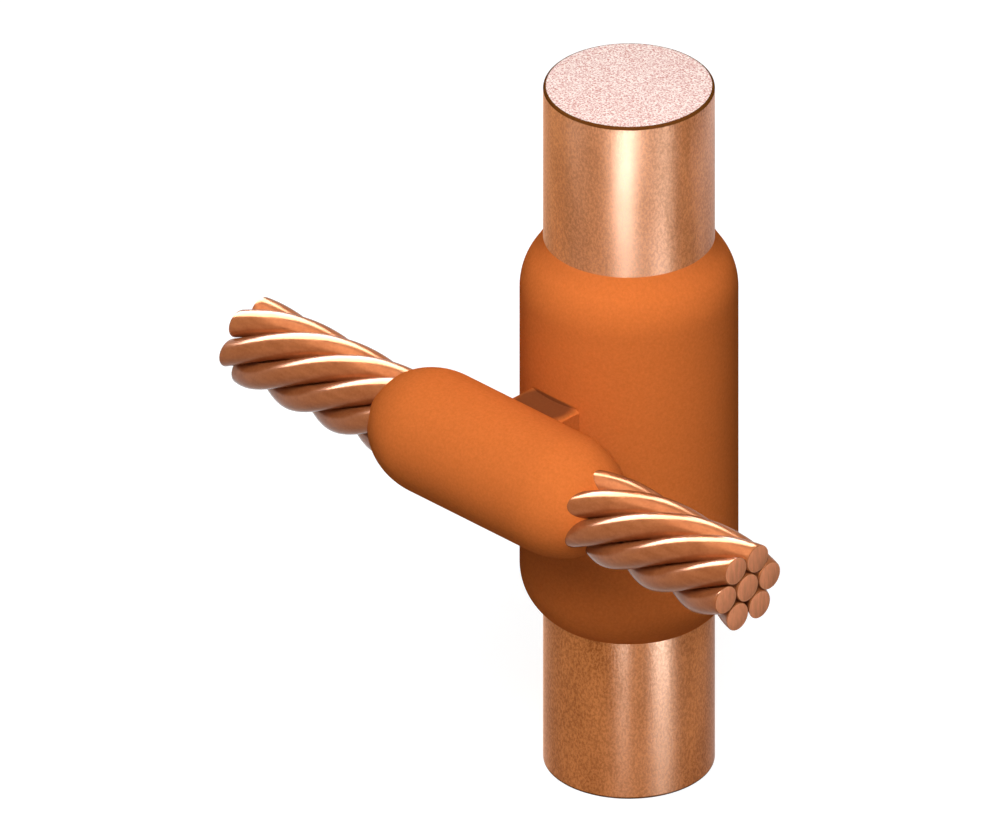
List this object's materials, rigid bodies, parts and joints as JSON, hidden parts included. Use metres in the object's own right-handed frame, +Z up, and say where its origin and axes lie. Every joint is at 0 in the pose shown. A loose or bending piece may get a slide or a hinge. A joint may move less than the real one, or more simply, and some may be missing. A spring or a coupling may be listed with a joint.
{
  "type": "welded earth rod joint",
  "caption": "Upright round earth rod joined to a crossing bare stranded copper conductor by one cast block of weld metal: a sleeve, a smaller barrel and a short neck.",
  "frame": {"origin": "centre of the earth rod's lower cut face", "axes": "+Z up along the rod; +X along the conductor; the conductor passes the rod on its -Y side"},
  "size_m": [0.0702, 0.036, 0.0776],
  "materials": {
    "drawn_copper": "drawn copper bar, satin, lightly tarnished",
    "cast_copper": "cast copper weld metal, matt orange, fine grain",
    "wire_copper": "bright drawn copper wire, polished"
  },
  "bodies": {
    "root": {"earth_rod": "drawn_copper", "weld_metal": "cast_copper", "core_wire": "wire_copper", "outer_wire_1": "wire_copper", "outer_wire_2": "wire_copper", "outer_wire_3": "wire_copper", "outer_wire_4": "wire_copper", "outer_wire_5": "wire_copper", "outer_wire_6": "wire_copper"}
  },
  "joints": []
}
